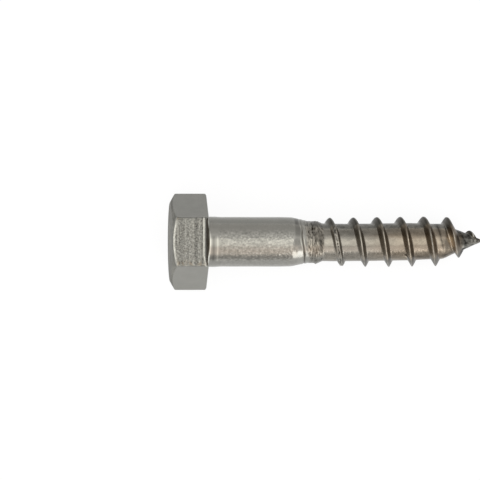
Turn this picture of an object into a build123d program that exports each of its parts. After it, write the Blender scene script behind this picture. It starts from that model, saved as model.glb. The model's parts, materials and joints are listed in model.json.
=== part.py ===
from build123d import *
import os
from math import acos, atan2, ceil, cos, hypot, radians, sin, tan

# Lag screw: one piece of stainless steel, headed cold and thread-rolled, as it lies at rest. Millimetres.
# A station is a distance along the screw, from the bearing face of the head toward the tip.

# Hexagon head
across_flats = 16.6
head_height = 7.0
top_circle_radius = 7.85  # flat circle that the chamfer leaves on the top face
chamfer_angle = 29.0  # slope of the chamfer, from the plane of the top face
bearing_edge_radius = 0.35  # rounding round the bearing face
corner_edge_radius = 0.2  # rounding of the six corners
punch_mark_radius = 4.2  # shallow pad that the heading punch leaves on the top face
punch_mark_height = 0.12

# Shank
screw_length = 55.0  # from the bearing face to the tip
underhead_radius = 0.5
collar_radius = 4.97  # the shank swells slightly under the head
collar_length = 2.3
collar_fade = 0.4
shank_radius = 4.875
shank_length = 17.1  # from the bearing face to the shoulder
shoulder_length = 3.2
shoulder_blend = 8.0

# Rolled band between the shoulder and the threaded core
band_radius = 4.14
band_length = 2.3
band_step = 0.8  # length of the step down to the core

# Thread and gimlet point
pitch = 4.68
root_radius = 3.7
crest_radius = 4.92
crest_land = 0.14  # width of the flat top of the ridge
flank_angle = 60.0  # between the two flanks
thread_phase = 3.37  # from the band's end to the first crest on the upper side
thread_rise_start = 2.0  # the ridge comes out of the band this far before the band's end
thread_rise = 4.3  # length over which it grows to its full height
point_length = 8.1
crest_taper = 6.9  # the full crest ends this far before the tip
bare_tip = 0.4  # the ridge sinks into the point this far before the tip
ridge_foot = 0.9  # the ridge is rooted at this share of the core's radius
buried_end = 0.3  # length of each end of the ridge inside the core
sections_per_turn = 12
foot_steps = 8  # rounds in which a flank's foot is found on the sloping core

# Stations that follow from them
neck_end = shank_length + shoulder_length
band_end = neck_end + band_length
core_start = band_end + band_step
first_crest = band_end + thread_phase
thread_start = band_end - thread_rise_start
thread_end = screw_length - bare_tip
full_crest_end = screw_length - crest_taper
point_start = screw_length - point_length


def core_radius_at(station):
    """Radius of the threaded core, which ends in a cone."""
    return root_radius * min(1, (screw_length - station) / point_length)


def crest_radius_at(station):
    """Radius of the ridge's top: it rises out of the band, stays level, then closes on the point."""
    rising = band_radius + (crest_radius - band_radius) * (station - thread_start) / thread_rise
    closed = (station - full_crest_end) / (thread_end - full_crest_end)
    falling = crest_radius + (core_radius_at(thread_end) - crest_radius) * closed
    return min(rising, crest_radius, falling)


# Rest: lying on one flat, the screw tips toward its point, turning on the bearing-side edge of that
# flat, until the first of the crests below it touches the floor.


def tilt_on(crest):
    """Tilt at which the crest at this station touches the floor."""
    drop = across_flats / 2 - bearing_edge_radius - crest_radius_at(crest)
    reach = crest + crest_land / 2 + bearing_edge_radius
    return acos(-bearing_edge_radius / hypot(drop, reach)) - atan2(reach, drop)


turns_below = int((thread_end - first_crest) / pitch)
lower_crests = [first_crest + (turn + 0.5) * pitch for turn in range(turns_below)]
resting_crest = min(lower_crests, key=tilt_on)
tilt = tilt_on(resting_crest)

seat_height = (resting_crest + crest_land / 2) * sin(tilt) + crest_radius_at(resting_crest) * cos(tilt)
head_end = -head_height * cos(tilt) - top_circle_radius * sin(tilt)
tip_end = screw_length * cos(tilt)

seat = Vector(-(head_end + tip_end) / 2, 0, seat_height)  # centre of the bearing face
along = Vector(cos(tilt), 0, -sin(tilt))  # from the head toward the tip
screw_axis = Axis(seat, along)
cross_plane = Plane(origin=seat, x_dir=(0, 1, 0), z_dir=along)


def axial_plane(turned):
    """Plane through the axis, x along the screw and y outward: straight up, then turned by degrees."""
    normal = Vector(0, -1, 0).rotate(screw_axis, turned)
    return Plane(origin=seat, x_dir=along, z_dir=normal)


def flank_foot(station, side):
    """Foot of the flank that leaves the crest at this station, sunk a little into the core."""
    foot = station
    for _ in range(foot_steps):
        depth = crest_radius_at(station) - ridge_foot * core_radius_at(foot)
        foot = station + side * (crest_land / 2 + depth * tan(radians(flank_angle / 2)))
    return foot, ridge_foot * core_radius_at(foot)


def ridge_section(station):
    """Section of the ridge where its helix crosses this station."""
    top = crest_radius_at(station)
    with BuildSketch(axial_plane(360 * (station - first_crest) / pitch)) as section:
        with BuildLine():
            Polyline(
                flank_foot(station, -1),
                (station - crest_land / 2, top),
                (station + crest_land / 2, top),
                flank_foot(station, 1),
                close=True,
            )
        make_face()
    return section.sketch


ridge_length = thread_end - thread_start + 2 * buried_end
ridge_turns = ceil(ridge_length / pitch)
section_step = ridge_length / (ridge_turns * sections_per_turn)
ridge_sections = [
    ridge_section(thread_start - buried_end + step * section_step)
    for step in range(ridge_turns * sections_per_turn + 1)
]

with BuildPart() as lag_screw:
    # Head: a hexagon that lies on one of its flats
    with BuildSketch(cross_plane.offset(-head_height)):
        RegularPolygon(across_flats / 2, side_count=6, major_radius=False)
    extrude(amount=head_height)
    fillet(lag_screw.edges().filter_by(screw_axis), radius=corner_edge_radius)
    fillet(lag_screw.faces().sort_by(screw_axis)[-1].edges(), radius=bearing_edge_radius)

    # Chamfer: the head is kept inside a cone round its top circle
    with BuildSketch(axial_plane(0)):
        with BuildLine():
            clear_radius = across_flats
            cone_rise = (clear_radius - top_circle_radius) * tan(radians(chamfer_angle))
            Polyline(
                (-head_height, 0),
                (-head_height, top_circle_radius),
                (-head_height + cone_rise, clear_radius),
                (head_height, clear_radius),
                (head_height, 0),
                close=True,
            )
        make_face()
    revolve(axis=screw_axis, mode=Mode.INTERSECT)

    with BuildSketch(cross_plane.offset(-head_height)):
        Circle(punch_mark_radius)
    extrude(amount=-punch_mark_height)

    # Shank, shoulder, rolled band, core and point: one turned outline
    with BuildSketch(axial_plane(0)):
        with BuildLine():
            FilletPolyline(
                (0, 0),
                (0, collar_radius),
                (collar_length, collar_radius),
                (collar_length + collar_fade, shank_radius),
                (shank_length, shank_radius),
                (neck_end, band_radius),
                (band_end, band_radius),
                (core_start, root_radius),
                (point_start, root_radius),
                (screw_length, 0),
                radius=[0, 0, 0, shoulder_blend, 0, 0, 0, 0],
            )
            Line((screw_length, 0), (0, 0))
        make_face()
    revolve(axis=screw_axis)
    circles = lag_screw.edges().filter_by(GeomType.CIRCLE)
    fillet(circles.sort_by_distance(seat)[0], radius=underhead_radius)

    # Thread: a ridge lofted through its sections, one turn at a time
    for turn in range(ridge_turns):
        first = turn * sections_per_turn
        loft(ridge_sections[first : first + sections_per_turn + 1])

lag_screw.part.label = "lag_screw"

os.makedirs("parts", exist_ok=True)
export_step(lag_screw.part, "parts/lag_screw.step")
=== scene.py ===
import json
from itertools import product
from math import atan2, cos, pi, radians, tan

import bpy
import numpy as np
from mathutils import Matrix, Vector


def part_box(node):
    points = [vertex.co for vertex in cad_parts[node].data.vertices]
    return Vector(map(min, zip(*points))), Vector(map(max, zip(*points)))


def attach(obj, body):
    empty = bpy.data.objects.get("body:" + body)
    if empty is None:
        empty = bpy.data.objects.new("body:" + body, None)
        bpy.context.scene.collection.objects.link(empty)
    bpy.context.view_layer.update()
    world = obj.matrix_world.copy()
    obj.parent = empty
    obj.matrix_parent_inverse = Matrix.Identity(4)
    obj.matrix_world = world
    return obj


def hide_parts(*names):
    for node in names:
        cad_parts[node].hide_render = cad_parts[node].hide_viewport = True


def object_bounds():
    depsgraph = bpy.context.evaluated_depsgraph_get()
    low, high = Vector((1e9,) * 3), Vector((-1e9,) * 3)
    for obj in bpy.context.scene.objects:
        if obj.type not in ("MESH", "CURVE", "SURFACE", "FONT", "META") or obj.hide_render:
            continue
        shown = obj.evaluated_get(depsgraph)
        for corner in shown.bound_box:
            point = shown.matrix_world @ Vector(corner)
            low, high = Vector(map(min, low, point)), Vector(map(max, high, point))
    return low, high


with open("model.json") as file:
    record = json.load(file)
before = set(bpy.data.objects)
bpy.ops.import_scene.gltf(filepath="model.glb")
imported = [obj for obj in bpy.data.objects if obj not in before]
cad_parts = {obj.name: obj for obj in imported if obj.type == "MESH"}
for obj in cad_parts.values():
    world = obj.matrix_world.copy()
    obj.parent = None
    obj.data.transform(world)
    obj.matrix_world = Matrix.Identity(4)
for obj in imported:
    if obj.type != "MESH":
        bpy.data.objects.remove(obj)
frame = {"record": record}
cad_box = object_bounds()

# Lag screw: one closed mesh that carries the marks of its making and painted highlights and shade, on a
# pale floor under studio lamps.
# Sizes are in millimetres. A station (s) is a distance along the screw, from the bearing face toward
# the tip. A turned angle goes round the screw: 0 faces up, a quarter turn faces -Y. The camera looks
# straight down, so the upper side of the picture is at -90 degrees and its lower side at 90.

# Head
across_flats = 16.6
head_height = 7.0
top_circle_radius = 7.85
chamfer_rise = tan(radians(29.0))
corner_radius = 0.22
flat_inset = 0.012  # the flats lie this far inside those of the solids
plain_edge = 0.14  # rounding of the bearing edge under the plain flats
forged_edge = 0.6  # the same under the rough flat that faces up
bearing_station = 0.03
bearing_dish = 0.15  # the bearing face rises by this toward the plain flats
patch_radius = 4.0  # punched patch in the middle of the top face
patch_widening = 0.6  # how much wider than high the patch is, in radius
patch_height = 0.1
patch_limit = 0.118  # keeps the patch inside the box of the solids

# Shank, shoulder and rolled band
fillet_radius = 0.55
collar_radius = 5.0
collar_length = 2.3
shank_radius = 4.92
shank_length = 17.1
shoulder_length = 3.2
blend_reach = 0.55
lip_station = 19.14  # where the shoulder folds over the band
raised_edge = 21.75  # ring that stands up near the band's end
raised_lobe = 21.98  # and its higher part, on the lower side
band_radius = 4.2
band_start = shank_length + shoulder_length
band_end = band_start + 2.3
core_start = band_end + 0.8

# Thread and point
pitch = 4.68
root_radius = 3.7
first_crest = band_end + 3.39
thread_start = band_end - 2.0
screw_length = 55.0
point_length = 8.1
blunt_start = screw_length - 1.4  # the point ends in a rounded stub
blunt_length = 1.32
blunt_radius = 0.78
helix_to = 54.2  # the rows of the mesh follow the helix up to this station
nick_station = 39.85  # on the sixth root
nick_angle = 46
nick_lip_angle = 54
nick_lean = 0.35
root_arc = 0.065  # length of one degree round the root
cut_start, cut_full = 50.4, 51.6  # the point is roughly cut from here on

# Stretches of the thread, by the stations where they start, are full, fade and end
open_crest = (25.15, 25.5, 26.95, 27.5)
scuffed = (46.2, 47, 49.2, 49.8)

# Radius of the crest by station: a low, open first turn, full turns, then the point
crest_profile = [
    (thread_start, 3.9), (22.3, 4.0), (22.9, 4.2), (24.1, 4.72), (24.8, 4.88), (25.4, 4.62), (25.9, 4.4),
    (26.6, 4.4), (27.2, 4.68), (28.3, 4.75), (29.5, 4.95), (31.9, 4.86), (34.2, 4.97), (44, 4.95),
    (47.6, 4.92), (48.3, 4.75), (49.4, 4.15), (50.6, 3.25), (52.8, 2.0), (53.4, 1.45), (54.0, 0.66),
    (54.7, 0.3),
]

# How far the threaded part leans toward +Y from the head's own axis, by station
bend_profile = [
    (18, 0), (22, -0.06), (26, -0.14), (32, -0.1), (38, 0), (42, 0.05), (47, 0.1), (51, 0.17), (55, 0.22),
]

# Dark rings that the rolls left on the band: station, width and depth
band_rings = [(20.12, 0.09, 1.0), (21.0, 0.12, 1.0), (21.62, 0.1, 1.0), (22.15, 0.1, 0.7)]

# Painted highlights and painted shade with a place of their own: station, its width, degrees, their width,
# and tone
shoulder_spots = [(shank_length + 0.2, 0.22, -3, 15, 0.35), (shank_length + 0.75, 0.16, 24, 4, -0.8)]
light_and_shade_at_scuffs = [(46.6, 0.35, 28, 6, 0.25), (46.7, 0.3, -4, 6, -0.3)]
point_facet_glints = [
    (51.4, 0.14, 5, 24, 0.45), (51.25, 0.2, 40, 9, 1.2),
    (53.0, 0.14, 4, 12, 1.2), (53.15, 0.3, -45, 22, 0.5),
]

# Light and dark lines that the rolls left across the forged flat: station and light
marks_from, marks_to = -6.4, -0.9
roll_marks = [
    (-6.15, 0.25), (-5.95, 1.0), (-5.7, 0.45), (-5.2, 0.3), (-4.65, 0.5), (-4.37, 1.0), (-3.98, 0.35),
    (-3.6, 0.95), (-3.2, 0.5), (-2.95, 0.95), (-2.4, 0.05), (-2.1, 0.2), (-1.72, 0.95), (-1.45, 0.6),
    (-1.2, 0.1),
]

# Where the screw lies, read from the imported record's mounts
to_millimetres, to_metres = 1000, 0.001
mounts = {mount["name"]: mount for mount in frame["record"]["mounts"]}
along = np.array(mounts["shank"]["axis"])
head_mount = mounts["spanner_head"]
seat = np.array(head_mount["pos_m"]) * to_millimetres + along * head_height / 2
upward = np.array([-along[2], 0, along[0]])
sideways = np.array([0.0, -1.0, 0.0])


# ---------------------------------------------------------------- curves and noise
def smooth(value, start, end):
    """0 before start and 1 after end, with an eased step between them."""
    share = np.clip((value - start) / (end - start), 0, 1)
    return share * share * (3 - 2 * share)


def between(value, start, full, fade, end):
    """Rises from 0 at start to 1 at full, then falls from 1 at fade to 0 at end."""
    return smooth(value, start, full) * (1 - smooth(value, fade, end))


def bell(value, centre, width):
    """1 at the centre, fading to 0 about two widths away."""
    return np.exp(-(((value - centre) / width) ** 2))


def apart(angle, centre):
    """Degrees from a centre in degrees to an angle in radians, the short way round."""
    return (np.degrees(angle) - centre + 180) % 360 - 180


def spots(s, degrees, table):
    """Sum of the spots in a table of station, width, degrees, width and tone."""
    total = 0
    for station, length, angle, width, tone in table:
        total = total + tone * bell(s, station, length) * bell(degrees, angle, width)
    return total


def smooth_least(a, b, reach):
    """The lesser of two heights, with a blend of that reach where they meet."""
    share = np.clip(0.5 + (b - a) / (2 * reach), 0, 1)
    return b + (a - b) * share - reach * share * (1 - share)


def smooth_most(a, b, reach):
    """The greater of two heights, blended in the same way."""
    return -smooth_least(-a, -b, reach)


def on_profile(s, profile):
    """Height of a profile of station and height pairs, straight between them."""
    return np.interp(s, *zip(*profile))


# Numbers that scramble the place of a grid corner into a value of its own
seed_shift = 7.31
seed_step = 9176
axis_factors = np.array([73856093, 19349663, 83492791])
scrambles = ((13, 1274126177), (15, 668265263))
key_mask = 0x7FFFFFFF
low_bits = 7


def lumps(points, size, seed):
    """Smooth noise between -1 and 1 at these points, with lumps of that size. Each use has its own seed."""
    cell = points / np.asarray(size, float) + seed * seed_shift
    base = np.floor(cell).astype(np.int64)
    share = smooth(cell - base, 0, 1)
    total = np.zeros(len(points))
    for corner in product((0, 1), repeat=3):
        key = (base + corner) @ axis_factors + seed * seed_step
        for shift, factor in scrambles:
            key = (key ^ (key >> shift)) * factor & key_mask
        weight = np.prod(np.where(corner, share, 1 - share), axis=1)
        total += weight * ((key >> low_bits) / (key_mask >> low_bits) * 2 - 1)
    return total


def local_points(s, radius, turned):
    """Points in the screw's own axes, for the noise."""
    return np.stack(np.broadcast_arrays(s, radius * np.cos(turned), radius * np.sin(turned)), axis=1)


def place(s, radius, turned):
    """Points in millimetres in the frame, from stations, radii and turned angles."""
    out = np.cos(turned)[:, None] * upward + np.sin(turned)[:, None] * sideways
    lean = on_profile(s, bend_profile)
    shift = np.stack([np.zeros_like(s), lean, np.zeros_like(s)], axis=1)
    return seat + s[:, None] * along + radius[:, None] * out + shift


def place_on_axis(station):
    """One point on the axis."""
    return place(np.array([station]), np.zeros(1), np.zeros(1))


# ---------------------------------------------------------------- mesh
# What the material reads at each point: tone is its brightness, which also carries painted highlights and
# painted shade; soil its brown residue together with painted shade; grain its speckle, brushed the rolls'
# lines on the forged flat, dull its roughness and warm its tint.
mask_names = ("tone", "soil", "grain", "brushed", "dull", "warm", "station")


def paint(count, **given):
    """Masks of this many points: a tone of 1 and no more than what is given."""
    values = {"tone": 1.0, **given}
    return np.stack([np.zeros(count) + values.get(name, 0) for name in mask_names], axis=1)


class Shell:
    """A closed skin made of rings of points, each ring joined to the one before."""

    def __init__(self):
        self.points, self.masks, self.faces = [], [], []
        self.count = 0
        self.last = None

    def add(self, points, masks):
        """Adds points that aren't joined to anything yet, and gives their numbers."""
        first = self.count
        self.points.append(points)
        self.masks.append(masks)
        self.count += len(points)
        return np.arange(first, self.count)

    def ring(self, points, masks):
        """Adds a ring and joins it to the one before, if there is one."""
        ring = self.add(points, masks)
        if self.last is not None:
            last = self.last
            quads = np.stack([last, np.roll(last, -1), np.roll(ring, -1), ring], axis=1)
            self.faces.extend(quads.tolist())
        self.last = ring
        return ring

    def release(self):
        """Gives the last ring, which the next one isn't joined to."""
        ring, self.last = self.last, None
        return ring

    def fan(self, centre, ring):
        """Closes a ring with triangles round one point."""
        for here, after in zip(ring, np.roll(ring, -1)):
            self.faces.append([centre, after, here])

    def join(self, a, a_keys, b, b_keys):
        """Joins two chains of points in the order of their keys, with a quad where the keys agree."""
        i = j = 0
        while i < len(a) - 1 or j < len(b) - 1:
            a_left, b_left = i < len(a) - 1, j < len(b) - 1
            if a_left and b_left and a_keys[i + 1] == b_keys[j + 1]:
                self.faces.append([a[i], b[j], b[j + 1], a[i + 1]])
                i, j = i + 1, j + 1
            elif not b_left or (a_left and a_keys[i + 1] < b_keys[j + 1]):
                self.faces.append([a[i], b[j], a[i + 1]])
                i += 1
            else:
                self.faces.append([a[i], b[j], b[j + 1]])
                j += 1


shell = Shell()

# ---------------------------------------------------------------- head
flat_reach = across_flats / 2
corner_centre = (flat_reach - corner_radius) / cos(pi / 6)
flat_half = (flat_reach - corner_radius) * tan(pi / 6)


def hexagon_radius(turned):
    """Radius of the head's hexagon, corners rounded, at each turned angle."""
    off = (turned + pi / 6) % (pi / 3) - pi / 6
    flat = flat_reach / np.cos(off)
    aside = pi / 6 - np.abs(off)
    inside = np.clip(corner_radius**2 - (corner_centre * np.sin(aside)) ** 2, 0, None)
    arc = corner_centre * np.cos(aside) + np.sqrt(inside)
    return np.where(np.abs(off) > atan2(flat_half, flat_reach), arc, flat)


def head_angles(flat_steps, arc_steps):
    """Turned angles of the head's columns: even along each flat, close round each corner."""
    flat = np.arctan2(np.linspace(-flat_half, flat_half, flat_steps + 1), flat_reach)
    arc = np.linspace(flat[-1], pi / 3 + flat[0], arc_steps + 1)[1:-1]
    sector = np.concatenate([flat, arc])
    return np.concatenate([sector + side * pi / 3 for side in range(-3, 3)])


turned_head = head_angles(32, 8)
head_degrees = apart(turned_head, 0)
head_count = len(turned_head)
rim = hexagon_radius(turned_head)


def facing(centre, spread):
    """1 on the flat that faces this many degrees, 0 on the others."""
    return 1 - smooth(np.abs(apart(turned_head, centre)), 30 - spread, 30 + spread)


forged = facing(0, 1.5)
upper_flats = facing(-60, 4) + facing(-120, 4)
at_corner = bell((turned_head + pi / 3) % (pi / 3), pi / 6, radians(2.5))
edge_rounding = plain_edge + 0.1 * at_corner + (forged_edge - plain_edge) * facing(0, 4)
bearing_rim = bearing_station + bearing_dish * (1 - facing(0, 4)) * (1 - 0.6 * at_corner)

# The chamfer meets the flats in arcs, and its end on the forged flat is ragged
rim_local = local_points(0.0, rim, turned_head)
ragged = 0.04 * lumps(rim_local, 0.8, 36) * facing(0, 6) + 0.02 * lumps(rim_local, 0.6, 37)
ragged = ragged - 0.08 * facing(0, 3)
chamfer_end = -head_height + (rim - top_circle_radius) * chamfer_rise + ragged


def top_face_row(radius):
    """A ring on the top face: the punched patch in the middle, plain round it."""
    local = local_points(0.0, radius, turned_head)
    edge = patch_radius + patch_widening * (np.sin(turned_head) ** 2 - 0.5) + 0.3 * lumps(local, 1.6, 31)
    patch = 1 - smooth(radius, edge - 0.6, edge + 0.4)
    mottled = lumps(local, 1.1, 32) + 0.7 * lumps(local, 0.5, 33)
    rise = patch * patch_height * (0.6 + 0.4 * mottled)
    rise = np.clip(rise + 0.012 * lumps(local, 0.9, 34), -0.04, patch_limit)
    near_rim = bell(radius, top_circle_radius - 0.1, 0.14)
    rise = rise - 0.03 * near_rim * (0.6 + 0.4 * lumps(local, 0.8, 35))
    tone = 1.12 + 0.09 * mottled + patch * (0.24 + 0.12 * mottled)
    # A painted highlight along the edge of the top circle
    tone = tone + 0.2 * bell(radius, top_circle_radius, 0.09)
    soil = 0.1 + 0.15 * np.clip(-mottled - 0.2, 0, 1) * patch
    masks = paint(head_count, tone=tone, dull=0.91, grain=0.3 + 0.4 * patch, soil=soil)
    return place(-head_height - rise, np.full(head_count, radius), turned_head), masks


def chamfer_row(share):
    """A ring on the chamfer, at this share of the way from the top circle to the hexagon."""
    radius = top_circle_radius + (rim - top_circle_radius) * share
    local = local_points(0.0, radius, turned_head)
    s = -head_height + (radius - top_circle_radius) * chamfer_rise + ragged * share
    s = s + 0.02 * lumps(local, 0.7, 38) * (share > 0)
    # Painted shade above the upper flats and the forged flat, painted light above the lower flat, and
    # painted highlights along the inner edge and over the forged flat's end
    tone = 0.85 + 0.07 * lumps(local, 0.9, 39) - 0.13 * facing(-60, 10) + 0.1 * facing(60, 10)
    tone = tone - 0.1 * facing(0, 10) + 0.8 * facing(0, 2) * (share > 0.87) + 0.3 * (share < 0.05)
    return place(s, radius, turned_head), paint(head_count, tone=tone, dull=0.85, grain=0.5, soil=0.1)


def flat_row(share):
    """A ring on the flats, at this share of the way from the chamfer to the bearing edge's rounding."""
    start, end = chamfer_end + 0.02, bearing_rim - edge_rounding
    s = start + (end - start) * share
    local = local_points(s, rim, turned_head)
    rough = lumps(local, (0.3, 0.45, 0.45), 41) + 0.8 * lumps(local, 0.3, 42)
    within = between(share, 0.02, 0.1, 0.93, 0.97)
    inset = 0.01 * lumps(local, 2.2, 43) - 0.03 * forged * (0.6 + 0.5 * rough) * within
    inset = inset - flat_inset - 0.04 * (share == 0)

    # The forged flat is polished, with painted highlights, along the chamfer's arc and along a line before
    # its other end; the upper flats get painted shade and the light end a painted highlight.
    arc_light = 1 - 0.55 * smooth(head_degrees, 16, 26) - 0.3 * smooth(-head_degrees, 18, 27)
    line = s - 0.33 * smooth(head_degrees, 17, 28) + 0.8
    polish_and_highlight = forged * np.clip(bell(share, 0.012, 0.036) * arc_light + bell(line, 0, 0.14), 0, 1)
    polish_and_highlight = polish_and_highlight * (0.85 + 0.3 * lumps(local, (3, 0.5, 0.5), 44))
    unpolished = forged * (1 - polish_and_highlight)
    light_end = forged * bell(head_degrees, 27, 2.4) * bell(s, -0.6, 0.3)
    dark_corner = bell(head_degrees, -29, 2.2) * bell(share, 0, 0.08)
    brown_side = bell(head_degrees, 27.5, 2.2) * np.clip(0.4 + rough, 0, 1)
    masks = paint(
        head_count,
        tone=0.82 - 0.21 * upper_flats - 0.14 * forged + 1.15 * polish_and_highlight + 0.3 * light_end,
        soil=unpolished * np.clip(0.06 + 0.2 * rough, 0, 0.5) + 0.8 * dark_corner,
        brushed=forged * (1 - 0.6 * polish_and_highlight),
        dull=0.15 + 0.5 * unpolished,
        warm=forged * (0.1 + 0.9 * brown_side),
        station=s,
    )
    return place(s, rim + inset, turned_head), masks


def bearing_edge_row(angle):
    """A ring on the rounding of the bearing edge, at this angle round it."""
    s = bearing_rim - edge_rounding + edge_rounding * np.sin(angle)
    radius = rim - flat_inset - edge_rounding * (1 - np.cos(angle))
    # A painted highlight where the rounding starts, and a painted dark reflection, in the tone and the
    # brown mask, as it turns under the forged flat; painted shade on the upper flats
    glint = bell(head_degrees, 28, 2.6) * (1 - smooth(angle, 0.6, 1.2))
    turning = smooth(angle, 0.2, 0.5)
    tone = (0.82 - 0.19 * upper_flats) * (1 - forged) + forged * (0.95 - 0.47 * turning) + 1.2 * glint
    masks = paint(head_count, tone=tone, soil=0.85 * forged * turning, dull=0.3, station=s)
    return place(s, radius, turned_head), masks


def bearing_face_row(radius, share):
    """A ring on the bearing face, at this share of the way from its level part to its rim."""
    s = bearing_station + (bearing_rim - bearing_station) * share
    masks = paint(head_count, tone=0.8, soil=0.3, grain=0.4, dull=0.5)
    return place(s, np.full(head_count, radius), turned_head), masks


# Rows of the head, closer together where its edges turn
near_circle = [top_circle_radius - 0.11, top_circle_radius - 0.04]
top_radii = np.concatenate([np.linspace(0.25, top_circle_radius - 0.25, 34), near_circle])
chamfer_shares = [0.0, 0.04, 0.15, 0.3, 0.45, 0.6, 0.75, 0.88, 0.97]
near_chamfer = [0.0, 0.012, 0.03, 0.055]
near_edge = [0.925, 0.943, 0.957, 0.97, 0.985, 1.0]
flat_shares = np.concatenate([near_chamfer, np.linspace(0.09, 0.9, 21), near_edge])
edge_angles = np.radians([12, 26, 42, 58, 74, 90])
bearing_rows = [(7.5, 1), (6.8, 0.5), (6.3, 0), (5.95, 0)]  # radius, and share of the rise to the rim

head_centre = shell.add(place_on_axis(-head_height - patch_height / 2), paint(1, tone=0.95, grain=0.6))
shell.fan(head_centre[0], shell.ring(*top_face_row(top_radii[0])))
for radius in top_radii[1:]:
    shell.ring(*top_face_row(radius))
for share in chamfer_shares:
    shell.ring(*chamfer_row(share))
for share in flat_shares:
    shell.ring(*flat_row(share))
for angle in edge_angles:
    shell.ring(*bearing_edge_row(angle))
for radius, share in bearing_rows:
    shell.ring(*bearing_face_row(radius, share))

# ---------------------------------------------------------------- shank, band, thread and point
columns = 180
turned_body = np.linspace(-pi, pi, columns, endpoint=False)


def turned_radius(s):
    """Radius of the turned body under the ridge: collar, shank, shoulder, band, core and point."""
    slope = (shank_radius - band_radius) / shoulder_length
    swell = (collar_radius - shank_radius) * (1 - smooth(s, collar_length - 0.7, collar_length + 0.9))
    blended = np.clip(s - (shank_length - blend_reach), 0, 2 * blend_reach)
    straight = np.clip(s - (shank_length + blend_reach), 0, shoulder_length - blend_reach)
    shoulder = slope * (blended**2 / (4 * blend_reach) + straight)
    root = root_radius + 0.055 + 0.03 * (1 - smooth(s, 25, 28)) - 0.2 * smooth(s, 40, 46)
    step = (band_radius - root) * smooth(s, band_end - 0.45, core_start)
    body = shank_radius + swell - 0.04 * smooth(s, 14.5, 17) - shoulder - step
    point = root_radius * np.clip((screw_length - s) / point_length, 0, None)
    point = point + 0.12 * smooth(s, 49.5, 51.5) + 0.08 * smooth(s, 53, 54)
    blunt = blunt_radius * np.sqrt(np.clip(1 - ((s - blunt_start) / blunt_length) ** 2, 0, None))
    point = np.where(s > blunt_start, np.minimum(point, blunt), point)
    return smooth_least(body, point, 0.25)


def under_head(s, turned):
    """Brown mask and tone of the fillet and the collar: painted shade right under the head, then a painted
    highlight as a bright ring, and a painted light line and a painted dark line on the lit side.
    """
    degrees = apart(turned, 0)
    edge = 0.6 - 0.55 * np.sin(turned) ** 2
    shadow = 1 - smooth(s, edge - 0.08, edge + 0.04)
    lit = between(degrees, -30, -10, 66, 76)
    lit_line = between(degrees, -17, -7, 44, 54)
    tone = 0.98 * lit * bell(s, edge + 0.12, 0.14) - 0.5 * shadow
    tone = tone + lit_line * (0.54 * bell(s, 2.15, 0.17) - 0.34 * bell(s, 1.35, 0.26))
    return 0.85 * shadow, tone


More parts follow.
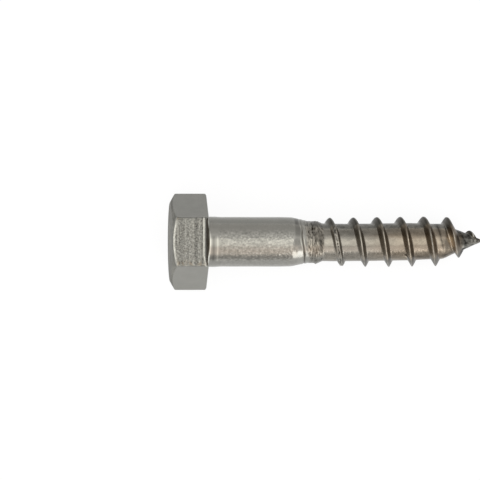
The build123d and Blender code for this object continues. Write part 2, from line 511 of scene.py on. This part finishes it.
class Body:
    """Points of the shank, band, thread and point: first their shape, then their looks."""

    def __init__(self, s, turned):
        self.s, self.turned = s, turned
        self.degrees = apart(turned, 0)
        self.helix = s - pitch * turned / (2 * pi)
        self.core = turned_radius(s)
        self.local = local_points(s, self.core, turned)
        self.upper_side = 1 - smooth(np.abs(apart(turned, -90)), 38, 50)
        self.lower_side = 1 - smooth(np.abs(apart(turned, 90)), 38, 50)
        self.front = 1 - smooth(np.abs(self.degrees - 4), 34, 46)
        self.shape_ridge()
        self.shape_band()
        self.shape_open_crest()
        self.shape_surface()
        self.shape_marks()
        self.shape_cut()

    def shape_ridge(self):
        """The ridge on its helix, blended into the core. off is the distance past the nearest crest."""
        s, turned = self.s, self.turned
        upper_share = 0.5 - 0.5 * np.sin(turned)
        turns = (s - first_crest + 0.06 * upper_share**2) / pitch - turned / (2 * pi)
        self.off = (turns - np.round(turns)) * pitch
        self.crest = s - self.off
        self.flattened = between(self.crest, *open_crest)
        land = 0.1 + 0.45 * self.flattened
        rounding = 0.08 + 0.17 * upper_share * (1 - 0.6 * smooth(self.crest, 46, 48))
        rounding = rounding + 0.25 * bell(self.crest, 52.9, 1.2)
        beyond = np.clip(np.abs(self.off + 0.05 * self.flattened) - land / 2, 0, None)
        beyond = beyond * np.where(self.off > 0, 1.14, 1.0)
        drop = (np.sqrt(beyond**2 + rounding**2) - rounding) / tan(pi / 6)
        ridge = on_profile(self.crest, crest_profile) - drop

        rising = smooth(s, thread_start - 0.4, thread_start + 0.6)
        self.on_ridge = smooth(ridge - self.core, -0.05, 0.45) * rising
        self.threaded = smooth(s, band_end, core_start + 0.6)
        self.bare = self.threaded * (1 - self.on_ridge)
        self.radius = np.where(s > thread_start - 0.5, smooth_most(self.core, ridge, 0.1), self.core)

    def shape_band(self):
        """The rolled band: scuffed rings, pits, a raised edge, and the fold where the shoulder ends."""
        s, degrees, local = self.s, self.degrees, self.local
        self.lip = lip_station + 0.45 * np.sin(self.turned) + 0.08 * lumps(local, (9, 1.4, 1.4), 3)
        self.rolled = between(s, self.lip + 0.5, self.lip + 1.1, band_end + 0.3, band_end + 1)
        self.pits = np.clip(lumps(local, (0.2, 0.6, 0.6), 8) - 0.3, 0, None)
        rings = 0.8 * lumps(local, (0.2, 1.7, 1.7), 5) + 0.7 * lumps(local, (0.16, 0.6, 0.6), 6)
        shown = 0.4 + 0.6 * (1 - smooth(np.abs(degrees - 8), 30, 46))
        self.radius += self.rolled * (0.05 * rings * (0.4 + 0.6 * shown) - 0.12 * self.pits * shown)
        self.radius += 0.05 * bell(s, raised_edge, 0.22)
        self.radius += 0.17 * bell(s, raised_lobe, 0.2) * bell(apart(self.turned, 92), 0, 26)

        above = between(-degrees, 26, 40, 100, 120)
        self.fold = bell(s, self.lip, 0.13) * (1 - 0.75 * above)
        self.radius -= 0.12 * self.fold * (0.4 + 0.6 * np.cos(np.radians(degrees - 10) / 2) ** 2)
        self.radius += 0.02 * bell(s, self.lip - 0.3, 0.14) + 0.03 * bell(s, self.lip + 0.4, 0.2)

    def shape_open_crest(self):
        """The first turn's crest, left open by the rolling, with pits between its two lips."""
        open_pits = np.clip(0.4 + 1.6 * lumps(self.local, 0.24, 11), 0, 1)
        self.trough = self.flattened * bell(self.off, -0.05, 0.16) * open_pits
        self.radius -= 0.1 * self.trough

    def shape_surface(self):
        """Unevenness of the ridge and of the whole body, and the dimples of the shank."""
        s, degrees, local = self.s, self.degrees, self.local
        self.radius += 0.03 * self.on_ridge * lumps(local, (0.6, 0.5, 0.5), 12)
        self.radius += 0.012 * lumps(local, (1.6, 1.1, 1.1), 14) * smooth(s, 0.6, 3)
        hidden = smooth(np.abs(degrees), 95, 115)
        even_upper = 0.92 * smooth(-degrees, 19, 35) * (1 - hidden)
        even_lower = 0.3 * smooth(degrees, 18, 28) + 0.4 * smooth(degrees, 46, 54) * (1 - hidden)
        past_collar, past_shank = s - collar_length, s - shank_length
        on_shank = smooth(past_collar, -0.4, 0.7) * (1 - smooth(past_shank, -0.1, 0.6))
        on_shoulder = between(past_shank, -0.2, 0.4, 1.3, 1.7) * bell(degrees, 30, 22)
        self.dimpled = on_shank * (1 - even_upper) * (1 - even_lower)
        dimples = lumps(local, 0.46, 15) + 0.8 * lumps(local, 0.3, 16)
        self.radius += 0.006 * (self.dimpled + 0.45 * on_shoulder) * dimples

    def shape_marks(self):
        """The nick on the sixth root, with its lip, and the scuffs near the point."""
        s, local = self.s, self.local
        along_nick = s - nick_station
        across_nick = (self.degrees - nick_angle) * root_arc - nick_lean * along_nick
        across_lip = (self.degrees - nick_lip_angle) * root_arc - nick_lean * along_nick
        self.nick = bell(along_nick, 0, 0.42) * bell(across_nick, 0, 0.16)
        self.nick_lip = bell(along_nick, -0.1, 0.25) * bell(across_lip, 0, 0.13)
        self.radius += 0.05 * self.nick_lip - 0.16 * self.nick
        self.worn = between(s, *scuffed) * (1 - self.on_ridge)
        self.radius += 0.035 * self.worn * lumps(local, (0.33, 1.8, 1.8), 18)

    def shape_cut(self):
        """The rough cut of the point."""
        self.tip = smooth(self.s, cut_start, cut_full)
        cut = lumps(self.local, (0.5, 0.4, 0.4), 21) + 0.6 * lumps(self.local, 0.25, 22)
        self.radius += 0.04 * self.tip * cut * np.clip(self.core / 1.5, 0.3, 1)

    def paint_shank(self):
        """Shank: painted shade on its sides and in two thin bands, a painted lighter field toward the
        shoulder, and a dark streak below the middle.
        """
        s, degrees, local = self.s, self.degrees, self.local
        self.soil, tone = under_head(s, self.turned)
        tone = tone + 1 - 0.39 * self.upper_side - 0.17 * self.lower_side
        near_shoulder = smooth(s, 9, 14)
        before_shoulder = 1 - smooth(s, shank_length + 0.2, shank_length + 0.5)
        tone -= 0.04 * bell(degrees, -46, 8) * (s < 18)
        tone += 0.13 * near_shoulder * before_shoulder * bell(degrees, -3, 13)
        tone -= 0.07 * (1 - near_shoulder) * bell(degrees, 13, 7)
        streak = bell(degrees, 39 + 2 * lumps(local, (2.5, 9, 9), 54), 5.5) * (s < shank_length + 0.1)
        tone -= 0.13 * streak * (1 + 0.8 * lumps(local, (0.9, 0.5, 0.5), 55))
        self.tone = tone
        self.soil += 0.05 * streak

    def paint_shoulder(self):
        """Shoulder: a painted highlight on its rim, painted shade on the cone with a painted highlight
        spot, painted light and shade near the lip, and painted shade in the fold at its end.
        """
        s, degrees, lip = self.s, self.degrees, self.lip
        cone_start = shank_length + 0.3 + 0.5 * smooth(degrees, -15, -6)
        self.cone = between(s, cone_start, cone_start + 0.35, lip - 0.42, lip - 0.3)
        spot_start = shank_length - 0.2
        self.spot = between(s, spot_start, spot_start + 0.8, lip - 0.3, lip - 0.1) * bell(degrees, 30, 12)
        shade = 0.3 * smooth(-degrees, 10, 18) + 0.25 * bell(degrees, 14, 4) + 0.04 * bell(degrees, 0, 9)
        self.tone += self.cone * (0.12 * bell(degrees, 55, 14) - shade)
        self.tone += 0.18 * self.spot * (1 + lumps(self.local, 0.55, 66))
        self.tone += spots(s, degrees, shoulder_spots)
        self.tone += 0.95 * bell(s, lip - 0.27, 0.1) * bell(degrees, 7, 16)
        self.tone += bell(s, lip + 0.55, 0.45) * (0.27 * self.front - 0.6 * bell(degrees, 34, 8))
        self.tone -= 0.45 * self.fold
        self.soil += 0.7 * self.fold

    def paint_band(self):
        """The rolled band: chips, dark rings and pits, painted shade on its upper side and a painted
        lighter band low on it, browner toward the thread.
        """
        s, degrees, local, rolled = self.s, self.degrees, self.local, self.rolled
        chips = 0.9 * lumps(local, (0.17, 0.6, 0.6), 56) + 0.9 * lumps(local, (0.15, 0.28, 0.28), 57)
        chips = 0.57 * chips * (0.35 + 0.65 * self.front) * (1 - 0.4 * smooth(degrees, 18, 30))
        rings = sum(depth * bell(s, station, width) for station, width, depth in band_rings)
        rings = np.clip(rings * (0.75 + 0.5 * lumps(local, (0.5, 1.1, 1.1), 58)), 0, 1)
        shade = 0.14 * smooth(s, band_start - 0.1, band_start + 1) + 0.2 * rings + 0.06 * self.upper_side
        self.tone += rolled * (chips - shade + 0.18 * bell(degrees, 42, 16))
        self.tone -= 0.9 * rolled * self.pits * (1 - 0.5 * self.upper_side)
        browner = smooth(s, band_start + 0.2, band_start + 1.2)
        self.soil += rolled * (0.1 + 0.9 * self.pits + 0.14 * browner + 0.1 * rings)

    def paint_thread(self):
        """Roots and flanks: brown residue, with painted shade on the flanks and beside the crests, and
        roots with painted light in front and painted shade at the sides.
        """
        s, degrees, local, off = self.s, self.degrees, self.local, self.off
        bare, upper_side = self.bare, self.upper_side
        spread = 0.02 + 0.24 * self.flattened
        self.flank = self.on_ridge * smooth(np.abs(off + 0.05 * self.flattened), spread, spread + 0.11)
        self.top = self.on_ridge * (1 - smooth(np.abs(off), 0.02, 0.12)) * (1 - self.flattened)

        stain = 0.5 + 0.5 * lumps(local, (2.2, 1.5, 1.5), 51)
        deep = between(-degrees, -5, 25, 60, 80)
        self.soil += 0.05 * self.threaded + 0.14 * bare * stain + 0.1 * smooth(s, 44, 50)
        # On the flanks the brown mask holds residue and painted shade, the shade strongest between -25 and
        # -60 degrees
        self.soil += self.flank * (0.45 - 0.15 * (off < 0) + 0.3 * deep - 0.1 * upper_side)
        self.soil *= 1 - 0.85 * self.top

        root = 0.03 * self.front * (1 - smooth(s, 30, 33)) + 0.15 * bell(s, 24.2, 1.2) * (1 - upper_side)
        root += 0.12 * bell(degrees, -9, 5) + bell(degrees, 29, 7.5) * (0.12 + 0.25 * bell(s, 24, 2.5))
        root += 0.12 * lumps(local, (0.9, 0.4, 0.4), 60)
        root -= 0.32 * between(-degrees, 13, 25, 36, 50) + 0.24 * upper_side
        root -= 0.07 * bell(degrees, 8, 4) + 0.1 * bell(degrees, 38, 5) + 0.12 * smooth(degrees, 50, 58)
        root -= bell(degrees, 44, 15) * (0.16 + 0.14 * smooth(s, 34, 44))
        root -= 0.2 * smooth(degrees, 42, 54) * smooth(s, 38, 44)
        # A thin painted dark reflection line along the roots
        dark_line = bell(degrees, 13, 2.4) * (0.8 + 0.6 * lumps(local, (0.6, 3, 3), 59))
        root -= (0.16 + 0.12 * (s < 33)) * dark_line
        self.tone += bare * root
        self.tone -= self.flank * ((0.12 + 0.16 * (off < 0)) * upper_side + 0.2 * self.lower_side)
        beside_crest = self.on_ridge * bell(off, -0.27, 0.15) * smooth(-degrees, 12, 26)
        self.tone -= 0.45 * beside_crest * (1 - 0.7 * upper_side)

    def paint_crest(self):
        """Crests: a painted highlight line that is brightest in front, painted shade at the sides, and
        light and dark beads on the open first turn, with painted shade in its trough.
        """
        local, upper_side = self.local, self.upper_side
        light = 0.22 - 0.3 * smooth(self.crest, 48, 50) + 0.6 * lumps(local, 0.33, 61)
        away = smooth(-self.degrees, 20, 34) * (1 - upper_side)
        dim = bell(self.crest, 44.8, 1.0) * (1 - smooth(self.degrees, 4, 14)) * (1 - upper_side)
        chipped = bell(self.crest, 44.9, 0.5) * lumps(local, 0.25, 67)
        self.tone += self.top * (light * (1 - upper_side) + 0.5 * chipped - 0.38 * dim)
        self.tone -= self.top * (0.25 * upper_side + 0.25 * self.lower_side + 0.6 * away)
        beads = self.flattened * self.on_ridge * bell(self.off, -0.05, 0.22)
        self.tone += beads * (1.15 * lumps(local, 0.25, 62) - 0.05 - 0.2 * upper_side - 0.4 * away)
        self.tone -= 0.4 * self.trough
        self.soil += 0.5 * self.trough

    def paint_marks(self):
        """Streaks near the point, painted light and shade at the scuffs with their own mottling, and the
        nick with painted shade in it and a painted highlight on its raised lip.
        """
        s, degrees, helix = self.s, self.degrees, self.helix
        streaks = 0.16 * bell(helix, 45.95, 0.35) - 0.04 * bell(helix, 47.3, 0.3)
        streaks -= 0.5 * bell(helix, 46.75, 0.17) * (1 - 0.85 * smooth(degrees, 28, 38))
        self.tone += self.bare * (streaks + spots(s, degrees, light_and_shade_at_scuffs))
        self.tone += 0.2 * self.worn * lumps(helix[:, None] * np.ones(3), (0.4, 9, 9), 63)
        self.tone += 1.5 * self.nick_lip - 1.3 * self.nick
        self.soil += 0.8 * self.nick

    def paint_point(self):
        """Point: dark, with painted glints on a few facets, a painted glow low on it, and painted shade on
        the last flank.
        """
        s, degrees, local, tip = self.s, self.degrees, self.local, self.tip
        glints = smooth(lumps(local, 0.36, 64), 0.3, 0.55) * (0.15 + 0.85 * bell(s, 53.4, 0.5))
        low_glow = bell(degrees, 48, 20)
        light = 1.3 * glints + 0.4 * low_glow + 0.25 * self.upper_side + 0.25 * lumps(local, 0.5, 65)
        dark = 0.24 + 0.2 * smooth(s, 53.6, 54.2) + 0.2 * bell(s, 51.8, 0.4) * self.front
        self.tone += tip * (light - dark) + spots(s, degrees, point_facet_glints)
        last_flank = between(s, 49.6, 50, 51.6, 52.1) * smooth(self.off, 0.1, 0.4)
        self.tone -= 0.45 * last_flank * (1 - 0.8 * low_glow)
        self.soil += 0.25 * tip * (1 - glints) * (1 - low_glow)

    def paint_tan_reflection(self):
        """A painted tan reflection on the flank of the last turns and a painted highlight as a tan line at
        its foot. Gives their warm tint.
        """
        degrees, off = self.degrees, self.off
        reached = smooth(self.helix, 47.2, 48.4) * (1 - smooth(self.crest, 50.1, 50.6))
        side = self.flank * (off < 0) * reached * bell(degrees, 0, 34)
        line = bell(off, -0.7 + 0.006 * degrees, 0.16) * reached * self.threaded
        line = line * between(degrees, -34, -20, 16, 27)
        self.tone += 0.62 * side * (0.7 + 0.5 * lumps(self.local, (0.5, 2, 2), 53)) + 1.2 * line
        self.soil *= (1 - 0.45 * side) * (1 - 0.7 * line)
        return 0.85 * side + 0.6 * line

    def warmth(self, tan):
        """Warm tint: the shank's lower middle, the band, and the thread, more so toward the point."""
        degrees, threaded, bare = self.degrees, self.threaded, self.bare
        toward_point = smooth(self.s, 28, 42)
        warm = 0.15 + 0.25 * bell(degrees, 24, 14) * (1 - self.cone) * (1 - threaded) + 0.25 * self.rolled
        warm += threaded * (0.22 + 0.5 * toward_point)
        warm += 0.5 * bare * (bell(degrees, -20, 8) + 0.8 * bell(degrees, 38, 8)) * toward_point
        warm *= 1 - 0.7 * self.top * smooth(self.crest, 42.5, 44.5)
        warm *= (1 - 0.75 * self.upper_side) * (1 - 0.85 * self.lower_side * (1 - bare))
        past_thread = smooth(self.crest, 49.6, 50.3) * smooth(self.off, -0.2, 0.1)
        # tan adds the painted tan reflection and highlight of the last turns
        return warm * (1 - past_thread) * (1 - self.tip) + tan

    def row(self):
        """The points and their masks, as the shell takes them."""
        self.paint_shank()
        self.paint_shoulder()
        self.paint_band()
        self.paint_thread()
        self.paint_crest()
        self.paint_marks()
        self.paint_point()
        warm = self.warmth(self.paint_tan_reflection())
        grain = self.dimpled + 0.3 * self.rolled + 0.35 * self.bare + 0.3 * self.tip
        dull = 0.12 + 0.25 * self.rolled + 0.2 * self.threaded + 0.3 * self.flank + 0.2 * self.tip
        masks = paint(
            len(self.s),
            tone=np.clip(self.tone, 0.16, 2.4),
            soil=np.clip(self.soil, 0, 1),
            grain=np.clip(grain, 0, 1),
            dull=np.clip(dull + 0.15 * self.spot, 0, 1),
            warm=np.clip(warm, 0, 1.4),
            station=self.s,
        )
        return place(self.s, self.radius, self.turned), masks


def body_ring(station):
    """A ring of the body at one station, joined to the ring before."""
    return shell.ring(*Body(np.full(columns, float(station)), turned_body).row())


def fillet_row(angle):
    """A ring on the fillet under the head, at this angle round it."""
    s = np.full(columns, bearing_station + (fillet_radius - bearing_station) * (1 - cos(angle)))
    radius = np.full(columns, collar_radius + fillet_radius * (1 - np.sin(angle)))
    # Painted shade and painted highlights under the head, as under_head gives them
    soil, tone = under_head(s, turned_body)
    return place(s, radius, turned_body), paint(columns, tone=1 + tone, soil=soil, dull=0.4)


def closed(ring, turned):
    """A ring as a chain that ends where it starts, with its angles as keys."""
    return np.append(ring, ring[0]), np.append(turned, turned[0] + 2 * pi)


# Under the head the columns change from the hexagon's to the shank's
head_ring = shell.release()
fillet_ring = shell.ring(*fillet_row(0.0))
shell.join(*closed(fillet_ring, turned_body), *closed(head_ring, turned_head))
for angle in np.radians([15, 30, 45, 60, 75, 90]):
    shell.ring(*fillet_row(angle))

shank_rows = np.concatenate([
    [0.6, 0.67, 0.74, 0.82, 0.91, 1.0],
    np.arange(1.12, 2.9, 0.14),
    np.arange(3.0, 16.2, 0.24),
    np.arange(16.35, 18.3, 0.15),
    np.arange(18.4, band_end - 0.29, 0.08),
])
for station in shank_rows:
    body_ring(station)
start_ring = shell.release()
helix_from = shank_rows[-1]
end_ring = body_ring(helix_to)

# Thread: rows that follow the helix, closest at the crest. A row that has gone once round the screw
# meets the start of the row one pitch further on.
near_crest = np.arange(0, 0.27, 0.065)
on_flank = np.arange(0.36, 0.98, 0.1)
on_root = np.linspace(1.1, pitch / 2, 8)
half = np.concatenate([near_crest, on_flank, on_root])
row_offsets = np.sort(np.concatenate([-half[1:-1], half]))
rows_per_turn = len(row_offsets)
spare_turns = 3  # added at each end of the thread; rows that lie past its ends are left out below
first_turn = int((helix_from - first_crest) / pitch) - spare_turns
last_turn = int((helix_to - first_crest) / pitch) + spare_turns
crests = [first_crest + turn * pitch for turn in range(first_turn, last_turn)]
helix_rows = np.concatenate([crest + row_offsets for crest in crests])
end_gap = 0.06  # kept free between these rows and the rings at their ends
before_all, after_all = -1, 10**6  # keys of the rings at the two ends of the rows

stations_of, rows_of = [], []
for turned in turned_body:
    stations = helix_rows + pitch * turned / (2 * pi)
    kept = np.flatnonzero((stations > helix_from + end_gap) & (stations < helix_to - end_gap))
    stations_of.append(stations[kept])
    rows_of.append(kept)
row_counts = [len(kept) for kept in rows_of]
thread = Body(np.concatenate(stations_of), np.repeat(turned_body, row_counts))
thread_numbers = np.split(shell.add(*thread.row()), np.cumsum(row_counts)[:-1])
chains = [
    np.concatenate([[first], own, [last]])
    for first, own, last in zip(start_ring, thread_numbers, end_ring)
]
keys = [np.concatenate([[before_all], kept, [after_all]]) for kept in rows_of]
for column in range(columns - 1):
    shell.join(chains[column], keys[column], chains[column + 1], keys[column + 1])
once_round = np.concatenate([[before_all], rows_of[0] - rows_per_turn, [after_all]])
shell.join(chains[-1], keys[-1], chains[0], once_round)

# Stub of the point
for station in (54.35, 54.5, 54.62, 54.73, 54.82, 54.9, 54.95):
    body_ring(station)
tip_centre = shell.add(place_on_axis(screw_length - 0.02), paint(1, soil=0.9, tone=0.7))
shell.fan(tip_centre[0], shell.last[::-1])  # the other way round, so that it faces outward too

# The mesh object, kept inside the box of the solids
low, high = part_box("lag_screw")
points = np.clip(np.concatenate(shell.points) * to_metres, np.array(low), np.array(high))
mesh = bpy.data.meshes.new("screw")
mesh.from_pydata(points.tolist(), [], [[int(number) for number in face] for face in shell.faces])
mesh.validate()
mesh.polygons.foreach_set("use_smooth", [True] * len(mesh.polygons))
for name, values in zip(mask_names, np.concatenate(shell.masks).T):
    layer = mesh.attributes.new(name, "FLOAT", "POINT")
    layer.data.foreach_set("value", values.astype(np.float32))
mesh.update()
screw = bpy.data.objects.new("screw", mesh)
bpy.context.scene.collection.objects.link(screw)


# ---------------------------------------------------------------- materials
class Nodes:
    """Short calls for the nodes of one material."""

    def __init__(self, name):
        self.material = bpy.data.materials.new(name)
        self.material.use_nodes = True
        self.tree = self.material.node_tree
        self.tree.nodes.clear()

    def add(self, kind, **settings):
        node = self.tree.nodes.new(kind)
        for name, value in settings.items():
            setattr(node, name, value)
        return node

    def link(self, value, socket):
        if isinstance(value, bpy.types.NodeSocket):
            self.tree.links.new(value, socket)
        else:
            socket.default_value = value

    def math(self, operation, a, b=0.0, clamp=False):
        node = self.add("ShaderNodeMath", operation=operation, use_clamp=clamp)
        self.link(a, node.inputs[0])
        self.link(b, node.inputs[1])
        return node.outputs[0]

    def sum(self, first, *others):
        for other in others:
            first = self.math("ADD", first, other)
        return first

    def times(self, a, b, clamp=False):
        return self.math("MULTIPLY", a, b, clamp)

    def mix(self, share, a, b, blend="MIX"):
        node = self.add("ShaderNodeMix", data_type="RGBA", blend_type=blend)
        self.link(share, node.inputs[0])
        self.link(a, node.inputs[6])
        self.link(b, node.inputs[7])
        return node.outputs[2]

    def mask(self, name):
        return self.add("ShaderNodeAttribute", attribute_name=name).outputs["Fac"]

    def noise(self, vector, scale, detail=2.0, roughness=0.5):
        node = self.add("ShaderNodeTexNoise")
        self.link(vector, node.inputs["Vector"])
        node.inputs["Scale"].default_value = scale
        node.inputs["Detail"].default_value = detail
        node.inputs["Roughness"].default_value = roughness
        return node.outputs["Fac"]

    def remap(self, value, low, high, to_low, to_high):
        node = self.add("ShaderNodeMapRange")
        self.link(value, node.inputs["Value"])
        for name, number in zip(("From Min", "From Max", "To Min", "To Max"), (low, high, to_low, to_high)):
            self.link(number, node.inputs[name])
        return node.outputs["Result"]

    def finish(self, surface):
        """The surface becomes the material's."""
        output = self.add("ShaderNodeOutputMaterial")
        self.link(surface, output.inputs["Surface"])
        return self.material


def steel_lines(steel, station):
    """The rolls' lines across the forged flat, light and dark by station."""
    lines = steel.add("ShaderNodeValToRGB")
    elements = lines.color_ramp.elements
    while len(elements) < len(roll_marks):
        elements.new(0.5)
    for element, (mark_station, light) in zip(elements, roll_marks):
        element.position = (mark_station - marks_from) / (marks_to - marks_from)
        element.color = (light, light, light, 1)
    steel.link(steel.remap(station, marks_from, marks_to, 0.0, 1.0), lines.inputs["Fac"])
    return lines.outputs["Color"]


def stainless_steel():
    """Bare steel with brown residue and painted shade, lighter and darker by the masks, which carry painted
    highlights and painted shade, and by fine speckle.
    """
    clean = (0.335, 0.332, 0.305, 1)
    brown = (0.1, 0.082, 0.056, 1)
    warm_tint = (1.06, 0.9, 0.76, 1)
    steel = Nodes("stainless_steel")
    coords = steel.add("ShaderNodeTexCoord").outputs["Object"]
    stretch = steel.add("ShaderNodeMapping")
    stretch.inputs["Scale"].default_value = (1.0, 0.14, 0.14)
    steel.link(coords, stretch.inputs["Vector"])
    tone, soil, grain, brushed, dull, warm, station = (steel.mask(name) for name in mask_names)

    speckle = steel.noise(coords, 3500, 2.0, 0.65)
    fine = steel.noise(coords, 7000, 2.0, 0.6)
    blotch = steel.noise(coords, 420, 3.0, 0.55)
    mottle = steel.noise(coords, 1900, 3.0, 0.62)
    patches = steel.noise(coords, 1500, 3.0, 0.6)
    stripes = steel.noise(stretch.outputs["Vector"], 3400, 2.0, 0.6)
    pimples = steel.add("ShaderNodeTexVoronoi", feature="SMOOTH_F1")
    pimples.inputs["Scale"].default_value = 2100
    pimples.inputs["Smoothness"].default_value = 0.6
    steel.link(coords, pimples.inputs["Vector"])

    grainy = steel.times(grain, steel.remap(mottle, 0.3, 0.7, -0.3, 0.3))
    dots = steel.remap(speckle, 0.3, 0.7, -0.36, 0.36)
    streaks = steel.remap(stripes, 0.25, 0.75, -0.1, 0.1)
    lines = steel.remap(steel_lines(steel, station), 0.0, 1.0, -0.2, 0.18)
    forged_tone = steel.times(brushed, steel.sum(dots, streaks, lines))
    cloudy = steel.remap(blotch, 0.2, 0.8, -0.05, 0.05)
    level = steel.sum(steel.sum(tone, grainy), steel.sum(forged_tone, cloudy))
    residue_and_shade = steel.times(soil, steel.remap(patches, 0.3, 0.7, 0.75, 1.25), clamp=True)
    colour = steel.mix(residue_and_shade, clean, brown)
    colour = steel.mix(warm, colour, steel.mix(1.0, colour, warm_tint, "MULTIPLY"))
    colour = steel.mix(1.0, colour, level, "MULTIPLY")

    # Relief finer than the mesh holds
    relief = steel.sum(steel.times(pimples.outputs["Distance"], 0.9), steel.times(mottle, 0.7))
    relief = steel.sum(steel.times(relief, grain), steel.times(speckle, brushed), steel.times(fine, 0.06))
    bump = steel.add("ShaderNodeBump")
    bump.inputs["Strength"].default_value = 1.0
    bump.inputs["Distance"].default_value = 0.00007
    steel.link(relief, bump.inputs["Height"])

    # Where the steel is dull, its edges take less light too
    roughness = steel.sum(steel.remap(fine, 0.3, 0.7, 0.17, 0.23), steel.times(dull, 0.22))
    edge_level = steel.remap(dull, 0.5, 1.0, 1.0, 0.19)
    shader = steel.add("ShaderNodeBsdfPrincipled")
    shader.inputs["Metallic"].default_value = 1.0
    steel.link(colour, shader.inputs["Base Color"])
    steel.link(roughness, shader.inputs["Roughness"])
    steel.link(edge_level, shader.inputs["Specular Tint"])
    steel.link(bump.outputs["Normal"], shader.inputs["Normal"])
    return steel.finish(shader.outputs[0])


def pale_floor():
    """Takes the screw's shadow, and glows white to the camera and in reflections of the room."""
    pale = Nodes("pale_floor")
    matte = pale.add("ShaderNodeBsdfDiffuse")
    matte.inputs["Color"].default_value = (0.15, 0.15, 0.15, 1)
    glow = pale.add("ShaderNodeEmission")
    paths = pale.add("ShaderNodeLightPath").outputs
    mirrored = pale.math("MAXIMUM", paths["Is Glossy Ray"], paths["Is Transmission Ray"])
    seen = pale.math("MAXIMUM", paths["Is Camera Ray"], mirrored)
    pale.link(pale.times(seen, 0.89), glow.inputs["Strength"])
    both = pale.add("ShaderNodeAddShader")
    pale.link(matte.outputs[0], both.inputs[0])
    pale.link(glow.outputs[0], both.inputs[1])
    return pale.finish(both.outputs[0])


mesh.materials.append(stainless_steel())
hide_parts("lag_screw")
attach(screw, "root")

# ---------------------------------------------------------------- floor, light and camera, in metres
floor_reach = 3.0
floor_gap = 0.00002
corners = [(x * floor_reach, y * floor_reach, 0) for x, y in ((-1, -1), (1, -1), (1, 1), (-1, 1))]
floor_mesh = bpy.data.meshes.new("floor")
floor_mesh.from_pydata(corners, [], [(0, 1, 2, 3)])
floor_mesh.materials.append(pale_floor())
floor = bpy.data.objects.new("floor", floor_mesh)
bpy.context.scene.collection.objects.link(floor)
floor.location.z = cad_box[0].z - floor_gap

world = bpy.data.worlds.new("studio")
bpy.context.scene.world = world
world.use_nodes = True
backdrop = world.node_tree.nodes["Background"]
backdrop.inputs["Color"].default_value = (1, 1, 1, 1)
backdrop.inputs["Strength"].default_value = 0.62


def lamp(name, middle, size, radiance, colour, aim=(0, 0, -1)):
    """A flat rectangular lamp of even brightness, facing along aim."""
    light = bpy.data.lights.new(name, "AREA")
    light.shape = "RECTANGLE"
    light.size, light.size_y = size
    light.energy = radiance * pi * size[0] * size[1]
    light.color = colour
    holder = bpy.data.objects.new(name, light)
    bpy.context.scene.collection.objects.link(holder)
    holder.location = middle
    holder.rotation_euler = Vector(aim).to_track_quat("-Z", "Y").to_euler()


lamp_height = 0.42


def overhead(name, spread_x, y_from, y_to, radiance, colour=(1, 1, 1)):
    """A lamp above the screw that fills these angles from straight up, in degrees."""
    low, high = (lamp_height * tan(radians(angle)) for angle in (y_from, y_to))
    width = 2 * lamp_height * tan(radians(spread_x))
    lamp(name, (0, (low + high) / 2, lamp_height), (width, high - low), radiance, colour)


overhead("key", 28, -21, 15, 0.95, (1, 1, 0.95))
overhead("side", 45, -60, -21.5, 0.58, (1, 0.9, 0.84))
overhead("fill_near", 50, 15.5, 38, 0.3)
overhead("fill_far", 50, 38.5, 62, 0.12)
kicker_distance = 0.6
kicker_direction = Vector((0.45, -0.84, 0.31)).normalized()
lamp("kicker", kicker_direction * kicker_distance, (0.22, 0.34), 2.1, (0.96, 0.98, 1), -kicker_direction)

# Camera: straight down on the screw, framed with room on its left
frame_width = 0.09514
view_centre = Vector((-0.01678, 0.00036, 0))
screw_level = float(seat[2]) * to_metres
camera_data = bpy.data.cameras.new("camera")
camera_data.lens = 400
camera = bpy.data.objects.new("camera", camera_data)
bpy.context.scene.collection.objects.link(camera)
camera_height = screw_level + frame_width * camera_data.lens / camera_data.sensor_width
camera.location = view_centre + Vector((0, 0, camera_height))
bpy.context.scene.camera = camera
bpy.context.scene.view_settings.view_transform = "Standard"
